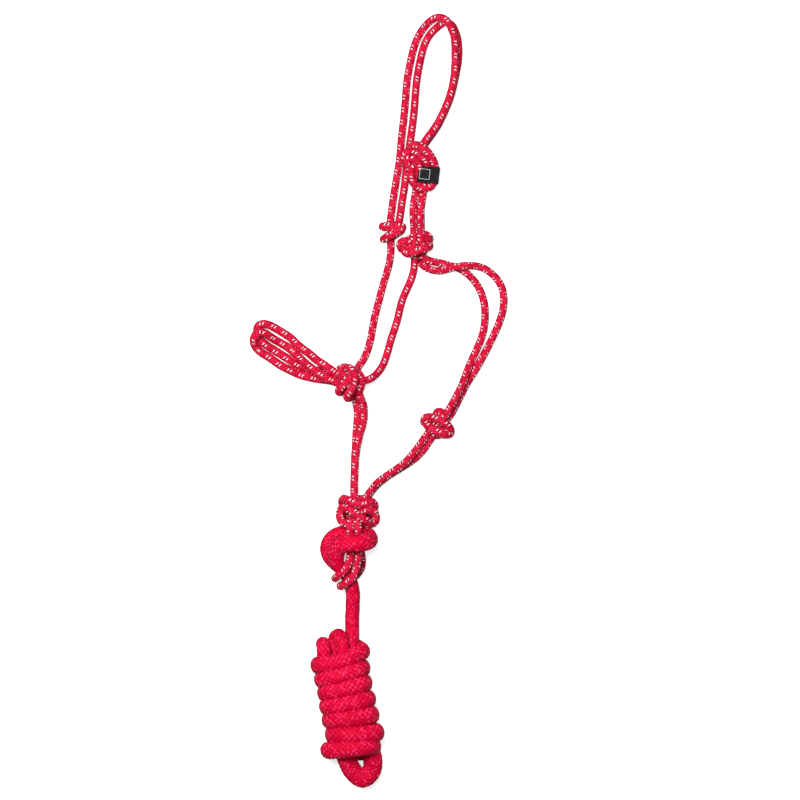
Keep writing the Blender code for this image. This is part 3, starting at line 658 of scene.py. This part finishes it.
NOSE_KNOT_OFF = {
    "upper_turn": [
        (-46, 18, 5), (-45.5, 30, 11), (-41, 36.5, 13.5), (-33, 36, 14), (-24, 29, 11), (-20, 20, 6),
    ],
    "lower_turn": [(-44, 24, 5), (-40, 16, 4.5), (-33, 8, 4.5), (-24, 10, 4.5), (-20, 19, 5), (-24, 30, 5)],
    "middle": [(-42, 25, 6), (-33, 22, 6), (-25, 18, 6)],
}
NOSE_KNOT_NEAR = {
    "crossing_turn": [
        (-30, 6, 11), (-33, 3, 16), (-34.5, 4.5, 22.5), (-31, 11, 27.5), (-27.5, 19, 30), (-27, 26.5, 30),
        (-29.5, 33.5, 27.5), (-33, 36.5, 22.5), (-37.5, 35, 15),
    ],
    "outer_turn": [
        (-39, 10, 10), (-43.5, 9.5, 15), (-44, 11, 20), (-40, 16.5, 25.5), (-35.5, 22.5, 27),
        (-30, 27.5, 22.5), (-23, 30, 20), (-19.5, 25.5, 19), (-19.5, 18, 18), (-23, 10, 15), (-29, 8, 11),
    ],
    "inner_pass": [(-44, 29, 16), (-38, 27, 21.5), (-31, 22, 21.5), (-24, 16, 17), (-22, 8, 12)],
}
TIE_KNOT_PASSES = {
    "bight": [
        (33, 274, 8), (36, 280, 12), (43, 280.5, 15.5), (51, 275.5, 16.5), (57.8, 267.5, 15),
        (61.2, 259, 12.5), (62, 253, 11.5), (61, 247.5, 11.5), (60, 241, 11.5), (56.5, 235, 11),
        (50, 233, 9.5),
    ],
    "inner_arc": [
        (28.5, 264, 12), (27.5, 270, 15.5), (33, 273.8, 17.5), (40.5, 272.5, 18), (47, 268, 17),
        (52, 261.5, 14), (53.5, 253, 11), (53, 243, 10), (50, 236, 8),
    ],
    "small_loop": [
        (33, 256, 12), (30, 261, 15), (33.5, 265.5, 16.5), (39.5, 264, 16.5), (44, 258, 14), (45, 250, 11),
        (44, 240, 10), (42, 234, 7),
    ],
    "left_turn": [
        (42, 260, 8), (37, 258, 11.5), (35, 251, 12.5), (35.5, 244, 12), (38.5, 238.5, 11), (43, 234.5, 9),
        (49, 233, 8),
    ],
    "back": [(40, 274, 6), (48, 268, 6), (50, 256, 5.5), (44, 252, 5), (44, 242, 5), (50, 238, 5)],
}
FIADOR_KNOT_PASSES = {
    "top_turn": [
        (-40.7, -112.2, 10), (-39.6, -107.3, 16), (-34.1, -108.4, 21), (-25.3, -112, 23), (-16.5, -113, 22),
        (-9.2, -110.5, 19), (-4.4, -114, 14), (-6.6, -120, 9),
    ],
    "diagonal": [
        (-39.6, -122.5, 10), (-38.5, -118, 17), (-33, -118.8, 24), (-25.3, -123.5, 28), (-17.6, -128.5, 28),
        (-12.7, -132.6, 24), (-12.1, -137.5, 16), (-16.5, -139.7, 10),
    ],
    "lobes": [
        (-36.3, -112.2, 10), (-41.8, -118.8, 14), (-43, -125.4, 17), (-40.7, -132, 19), (-34.1, -134.8, 19),
        (-27.5, -132, 20), (-23.1, -126.5, 19), (-17.6, -121, 20), (-9.9, -119.4, 20), (-4.6, -123.2, 17),
        (-3.5, -130.9, 14), (-8.8, -135.3, 10), (-16.5, -134.2, 8),
    ],
    "leg": [(-25.3, -128, 18), (-25.7, -135, 22.5), (-25.7, -140.5, 23), (-26, -146, 20)],
    "left_core": [(-27, -104, 12), (-29, -115, 14), (-30, -128, 15), (-31, -138, 21)],
    "right_core": [(-18, -106, 12), (-19, -116, 14), (-21, -128, 15), (-22, -138, 20)],
    "back": [
        (-38, -110, 9), (-40, -120, 6), (-30, -129, 4.8), (-16, -129, 4.8), (-6, -120, 6), (-10, -110, 8),
        (-23, -108, 4.8), (-36, -114, 5),
    ],
}
KNOT_BREADTH = 1.10           # how much wider than thick the cord is pressed in a knot
PASS_FLECK_TURN = 0.13        # how much further the braid is turned in each pass of a knot

# The off cheek knot: its centre, and for each of its turns the place along the strands, the half
# width, the half height, the slant and the width of the cord across
OFF_CHEEK_KNOT = (0.0148, 0.1849, 0.0089)
OFF_CHEEK_TURNS = [(0.0062, 0.0112, 0.0048, 0.0005, 0.0100), (-0.0022, 0.0100, 0.0062, 0.0058, 0.0095)]
TURN_STEPS = 22
TURN_START = math.radians(-110)
TURN_SWEEP = math.radians(400)
TURN_ADVANCE = 0.0035         # how far a turn winds along the strands
TUCK_FROM = 0.42              # the share of a turn, either side of its middle, that isn't tucked in
TUCK_DEPTH = 0.45             # how far its ends draw in, as a share of its size
FACING_REACH = 0.05           # length of the outward directions while they are smoothed


def turn_of_cord(place, half_width, half_height, slant, broad):
    """One turn of cord round the off cheek knot, its two ends tucked in at the back."""
    across, along, up = np.eye(3)
    points, outward = [], []
    for i in range(TURN_STEPS + 1):
        share = i / TURN_STEPS
        angle = TURN_START + TURN_SWEEP * share
        tuck = max(0.0, abs(share - 0.5) - TUCK_FROM) / (0.5 - TUCK_FROM)
        shift = place + slant * math.cos(angle) + TURN_ADVANCE * (share - 0.5)
        out = across * math.cos(angle) * half_width + up * math.sin(angle) * half_height
        points.append(np.array(OFF_CHEEK_KNOT) + along * shift + out * (1 - TUCK_DEPTH * tuck))
        outward.append(across * math.cos(angle) / half_width + up * math.sin(angle) / half_height)
    line = smooth(points, RING_STEP)
    facing = smooth([o / np.linalg.norm(o) * FACING_REACH for o in outward], RING_STEP)
    where = np.linspace(0, len(facing) - 1, len(line))
    facing = np.stack([np.interp(where, np.arange(len(facing)), facing[:, k]) for k in range(3)], -1)
    return tube(line, ROPE, HALTER_BRAID, ROPE_SIDES, phase=USUAL_FLECK_TURN,
                outward=facing, broad=broad / ROPE)


def add_off_cheek_knot(look):
    """The knot that is two turns of cord round the strands that pass through it."""
    made = make_piece("cord_upper_cheek_knot_off", [turn_of_cord(*turn) for turn in OFF_CHEEK_TURNS], look)
    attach(made, "halter")
    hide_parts("upper_cheek_knot_off")


def add_routed_knot(name, body, passes, look, *more_nodes):
    """A knot made of passes of cord, each pressed a little flat against the rest."""
    routes = [in_metres(route) for route in passes.values()]
    middle = np.mean([point for route in routes for point in route], axis=0) * (1.0, 1.0, 0.0)
    tubes = []
    for number, route in enumerate(routes):
        line = smooth(route, RING_STEP)
        tubes.append(tube(line, ROPE, HALTER_BRAID, ROPE_SIDES, phase=PASS_FLECK_TURN * number,
                          outward=line - middle, broad=KNOT_BREADTH))
    made = make_piece(f"cord_{name}", tubes, look)
    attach(made, body)
    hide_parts(name, *more_nodes)


# ---- Lead rope ----
# Its route in millimetres, besides the stretches in ROUTES: the end that lies on its own eye,
# then down the core of the hank, round the loop below it, up, and down again to the first turn
EYE_END = [(-38.5, -193, 18.5), (-42.5, -185, 21), (-45.5, -178, 24.5)]
CORE_DOWN = [
    (-29.3, -271, 15), (-28, -285, 18), (-25, -305, 21.5), (-21, -335, 21), (-15.5, -362, 20.5),
    (-9, -377, 19.5),
]
END_LOOP = [
    (-7.2, -388, 20.5), (-6.6, -398, 17.5), (-10.2, -408.5, 15), (-17.8, -413.6, 14), (-25.6, -409.2, 14.5),
    (-32.2, -399.5, 17.5), (-36.4, -389, 20.5),
]
CORE_UP = [
    (-42, -379, 19.5), (-44.5, -360, 21), (-46.5, -335, 21), (-48.5, -305, 20), (-48.3, -287, 16.5),
    (-48.2, -275, 15), (-48.4, -265.5, 16), (-46.6, -258, 20), (-43.8, -256.8, 24), (-40.5, -263, 29),
    (-39.5, -274, 31), (-39.5, -283, 29),
]
CORE_BACK_DOWN = [
    (-37, -295, 26), (-36, -310, 25), (-34, -330, 25), (-31.5, -355, 25.5), (-33, -368, 27),
    (-42, -376.5, 26.5),
]
HANK_CENTRE = np.array([-0.035, -0.3285, 0.0])
HANK_LEAN = math.radians(8.0)
TURN_MIDDLE = 0.0225          # height of a turn's middle, and how far it reaches up and down
TURN_HALF_HEIGHT = 0.0150
TURN_ROUNDNESS = 0.8          # 1 for turns with round sides, and less for squarer ones
# Each turn from the bottom of the hank to its top: how far left of the hank's axis it reaches
# and how far below its middle it is there, the same on the right, and how late it crosses over
HANK_TURNS = [
    (0.0288, 0.0502, 0.0225, 0.0520, 1.0), (0.0215, 0.0340, 0.0283, 0.0385, 1.0),
    (0.0228, 0.0180, 0.0255, 0.0185, 1.0), (0.0235, 0.0030, 0.0243, 0.0010, 1.0),
    (0.0235, -0.0120, 0.0228, -0.0170, 1.0), (0.0248, -0.0270, 0.0228, -0.0335, 1.0),
    (0.0265, -0.0430, 0.0250, -0.0520, 2.2),
]
# The tail, from the last turn over the left loop: across, below the hank's middle, and height
TAIL = [
    (16, -58, 8), (0, -56, 7.8), (-11, -56, 7.8), (-16.2, -60, 10), (-17.5, -65, 15.5),
    (-17.2, -65.2, 21.5), (-17.2, -60, 27), (-18, -52, 28.5), (-18, -44, 26.5),
]
POINTS_EACH_TURN = 16
LAST_TURN_END = -0.1          # radians past its right end, where the last turn becomes the tail
LOWEST_TURN_DIP = 0.0130      # how far the lowest turn sags beneath the hank, behind its end loop
SMOOTH_RINGS = 9              # rings either side over which the rope's breadth and facing change
# How much wider than thick the soft rope is pressed: in the hank's turns, where it crosses over
# the hitch, and in the loop below the hank
TURN_BREADTH = 1.24
BRIDGE_BREADTH = 1.24
BRIDGE_HEIGHT = 0.022         # the height above which the eye's rope crosses over the hitch
END_LOOP_BREADTH = 1.34
END_LOOP_TOP = -0.383         # along Y, where that loop starts
EYE_TAPER = ((0.0, 0.006, 0.030), (0.35, 0.62, 1.0))    # distances from its end, and its thickness


def in_hank(across, below, height):
    """A point of the hank, from its place across and below the middle of its axis."""
    side = np.array([math.cos(HANK_LEAN), math.sin(HANK_LEAN), 0.0])
    down = np.array([math.sin(HANK_LEAN), -math.cos(HANK_LEAN), 0.0])
    return HANK_CENTRE + side * across + down * below + np.array([0.0, 0.0, height])


def hank_turns():
    """The rope's turns round the core, from the bottom of the hank up."""
    points = []
    for number, (left, left_below, right, right_below, late) in enumerate(HANK_TURNS):
        after = HANK_TURNS[min(number + 1, len(HANK_TURNS) - 1)]
        last = number == len(HANK_TURNS) - 1
        for i in range(POINTS_EACH_TURN):
            angle = math.pi * (1 - 2 * i / POINTS_EACH_TURN)
            if last and angle < LAST_TURN_END:
                break
            start, end = (left_below, right_below) if angle > 0 else (right_below, after[1])
            share = (1 + math.cos(angle)) / 2
            share = share ** late if angle > 0 else 1 - share
            reach = right if math.cos(angle) > 0 else (left if angle > 0 else after[0])
            rise = math.copysign(abs(math.sin(angle)) ** TURN_ROUNDNESS, math.sin(angle))
            height = TURN_MIDDLE + TURN_HALF_HEIGHT * rise
            below = start + (end - start) * share
            if number == 0 and angle < 0:
                below += LOWEST_TURN_DIP * abs(math.sin(angle))
            points.append(in_hank(reach * math.cos(angle), below, height))
    return points


def lead_facing(line, first_turn, last_turn):
    """For each point of the lead rope, the way its broad side faces and how broad it is there."""
    facing = np.tile((0.0, 0.0, 1.0), (len(line), 1))
    down = np.array([math.sin(HANK_LEAN), -math.cos(HANK_LEAN), 0.0])
    middle = HANK_CENTRE + np.array([0.0, 0.0, TURN_MIDDLE])
    radial = line - middle
    radial -= (radial @ down)[:, None] * down
    radial /= np.linalg.norm(radial, axis=1)[:, None]
    index = np.arange(len(line))
    in_turns = (index >= first_turn) & (index <= last_turn)
    facing[in_turns] = radial[in_turns]
    on_bridge = (line[:, 1] > LEAD_SEAM) & (line[:, 2] > BRIDGE_HEIGHT)
    broad = np.where(in_turns, TURN_BREADTH, np.where(on_bridge, BRIDGE_BREADTH, 1.0))
    broad[(line[:, 1] < END_LOOP_TOP) & ~in_turns] = END_LOOP_BREADTH
    window = np.hanning(2 * SMOOTH_RINGS + 1)
    window /= window.sum()
    facing = np.stack([np.convolve(np.pad(facing[:, k], SMOOTH_RINGS, "edge"), window, "valid")
                       for k in range(3)], -1)
    return facing, np.convolve(np.pad(broad, SMOOTH_RINGS, "edge"), window, "valid")


def lead_line():
    """The lead rope's whole centre line, from its spliced end round the eye to its tucked end."""
    eye = [*EYE_END, *ROUTES["lead_rope_end_loop"][::-1], *ROUTES["lead_rope_run"]]
    core = [*ROUTES["lead_rope_neck"], *CORE_DOWN, *END_LOOP, *CORE_UP, *CORE_BACK_DOWN]
    tail = [in_hank(*point) for point in in_metres(TAIL)]
    line = smooth(in_metres(eye + core) + hank_turns() + tail, LEAD_STEP)
    line[:, 2] = np.maximum(line[:, 2], LEAD / 2)
    return line


def nearest(line, point):
    """The number of a line's point that is nearest to a point."""
    return int(np.argmin(np.linalg.norm(line - point, axis=1)))


def add_lead(look):
    """The lead rope in three pieces that meet in the middle of its run: eye, neck and hank."""
    line = lead_line()
    left, left_below, *_ = HANK_TURNS[0]
    _, _, right, right_below, _ = HANK_TURNS[-1]
    first_turn = nearest(line, in_hank(-left, left_below, TURN_MIDDLE))
    last_turn = nearest(line, in_hank(right, right_below, TURN_MIDDLE))
    facing, broad = lead_facing(line, first_turn, last_turn)
    sizes = np.interp(np.arange(len(line)) * LEAD_STEP, *EYE_TAPER)
    rings, places, phase = tube(line, LEAD, LEAD_BRAID, LEAD_SIDES, sizes=sizes, outward=facing, broad=broad)
    eye_top = int(np.argmax(line[:, 2]))
    seam = next(i for i in range(eye_top, len(line)) if line[i, 1] < LEAD_SEAM)
    second = next(i for i in range(seam, len(line)) if line[i, 1] < HANK_SEAM)
    cuts = {"eye": (0, seam), "neck": (seam, second), "hank": (second, len(line) - 1)}
    made = {}
    for part, (first, last) in cuts.items():
        piece = (rings[first:last + 1], places[first:last + 1], phase)
        made[part] = make_piece(f"cord_lead_rope_{part}", [piece], look)
    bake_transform(made["eye"])
    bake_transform(made["neck"])
    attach(made["hank"], "hank")
    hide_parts("lead_rope_end_loop", "lead_rope_run")
    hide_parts("lead_rope_neck")
    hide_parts("hank_wraps", "hank_top_loop_middle", "hank_top_loop_left", "hank_end_loop")


# ---- Label ----
LABEL_AXIS = ((0.061, 0.2475, 0.0115), (0.117, 0.993, 0.0))    # a point on it and its direction
LABEL_WIDTH = 0.0192
LABEL_REACH = 0.0188          # from the strand's axis to the flap's free edge
LABEL_FOLD = 0.0054           # radius of the fold inside the cloth
LABEL_CLOTH = 0.0009
LABEL_STEP = 0.0005
FLAP_DROOP = 0.0007           # how much lower the flap's free edge is than its fold
FOLD_STEPS = 31
RIPPLE = (0.00025, 520, 160)  # height of the flap's ripple, and its waves along and across


def flap_height(reach):
    """Height of the flap's lower face above the strand's axis."""
    return LABEL_FOLD - FLAP_DROOP * (reach / LABEL_REACH) ** 2


def label_profile():
    """The label's section across the strand: down from the flap's edge and half way round."""
    flat = [(-LABEL_REACH + i * LABEL_STEP) for i in range(round(LABEL_REACH / LABEL_STEP))]
    points = [(x, flap_height(x)) for x in flat]
    for i in range(FOLD_STEPS + 1):
        angle = math.pi / 2 - math.pi * i / FOLD_STEPS
        points.append((LABEL_FOLD * math.cos(angle), LABEL_FOLD * math.sin(angle)))
    return points


def label_point(reach, height, along):
    """A point of the label in the frame, from its place across, above and along the strand."""
    origin = np.array(LABEL_AXIS[0])
    axis = np.array(LABEL_AXIS[1]) / np.linalg.norm(LABEL_AXIS[1])
    side = np.cross(axis, (0.0, 0.0, 1.0))
    return origin + side * reach + axis * along + np.array([0.0, 0.0, height])


def add_label(cloth, thread):
    """A woven label folded round the tie knot's bight, with a stitched mark on its flap."""
    profile = label_profile()
    count = round(LABEL_WIDTH / LABEL_STEP) + 1
    ripple_height, waves_along, waves_across = RIPPLE
    verts, faces = [], []
    for i, (x, z) in enumerate(profile):
        for j in range(count):
            along = -LABEL_WIDTH / 2 + j * LABEL_STEP
            wave = math.sin(along * waves_along + x * waves_across)
            ripple = ripple_height * wave * max(0.0, -x / LABEL_REACH)
            verts.append(tuple(label_point(x, z + ripple, along)))
            if i and j:
                a = i * count + j
                faces.append((a, a - 1, a - count - 1, a - count))
    mesh = bpy.data.meshes.new("woven_label")
    mesh.from_pydata(verts, [], faces)
    layer = mesh.uv_layers.new(name="cloth")
    for face in mesh.polygons:
        for loop in face.loop_indices:
            i, j = divmod(mesh.loops[loop].vertex_index, count)
            layer.data[loop].uv = (i * LABEL_STEP, j * LABEL_STEP)
    mesh.polygons.foreach_set("use_smooth", [True] * len(faces))
    mesh.materials.append(cloth)
    tag = bpy.data.objects.new("woven_label", mesh)
    bpy.context.scene.collection.objects.link(tag)
    thick = tag.modifiers.new("cloth", "SOLIDIFY")
    thick.thickness = LABEL_CLOTH
    thick.offset = 1.0
    edge = tag.modifiers.new("edge", "BEVEL")
    edge.width = 0.0002
    edge.segments = 2
    edge.limit_method = "ANGLE"
    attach(tag, "tag")
    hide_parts("label")
    add_stitching(thread)


# The label's mark: a plain stitched frame, and where its corners lie (reach, along)
MARK = [(-0.0165, -0.0055), (-0.0055, -0.0055), (-0.0055, 0.0055), (-0.0165, 0.0055), (-0.0165, -0.0055)]
THREAD = 0.00055
THREAD_SIDES = 8
STITCH_PITCH = 0.0018         # from one stitch to the next
STITCH_SHARE = 0.76           # how much of its pitch a stitch fills
STITCH_STEPS = 6
STITCH_HUMP = 0.45            # how far a stitch rises in its middle, in thread widths


def add_stitching(thread):
    """A stitched frame in pale thread on the label's flap."""
    tubes = []
    for (x0, y0), (x1, y1) in zip(MARK, MARK[1:]):
        side = math.dist((x0, y0), (x1, y1))
        count = round(side / STITCH_PITCH)
        for i in range(count):
            points = []
            for step in range(STITCH_STEPS + 1):
                share = step / STITCH_STEPS
                place = (i + (1 - STITCH_SHARE) / 2 + STITCH_SHARE * share) / count
                x, y = x0 + (x1 - x0) * place, y0 + (y1 - y0) * place
                hump = THREAD * STITCH_HUMP * math.sin(math.pi * share)
                points.append(label_point(x, flap_height(x) + LABEL_CLOTH + hump, y))
            tubes.append(tube(points, THREAD, THREAD_BRAID, THREAD_SIDES))
    made = make_piece("label_stitching", tubes, thread)
    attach(made, "tag")


def main():
    """Build everything around the frame."""
    add_camera()
    halter = rope_look("halter_rope_look", HALTER_BRAID, HALTER_REDS, fleck=TRACER)
    lead = rope_look("lead_rope_look", LEAD_BRAID, LEAD_REDS, strands=2, unevenness=0.9)
    add_lead(lead)
    add_spans(halter)
    add_off_cheek_knot(halter)
    add_routed_knot("tie_knot", "crown", TIE_KNOT_PASSES, halter, "tie_knot_bight")
    add_routed_knot("fiador_knot", "halter", FIADOR_KNOT_PASSES, halter)
    add_routed_knot("upper_cheek_knot_near", "halter", CHEEK_KNOT_NEAR, halter)
    add_routed_knot("throat_knot", "throatlatch", THROAT_KNOT, halter)
    add_routed_knot("nose_knot_off", "halter", NOSE_KNOT_OFF, halter)
    add_routed_knot("nose_knot_near", "halter", NOSE_KNOT_NEAR, halter)
    add_label(label_look(), thread_look())
    add_stage()


main()
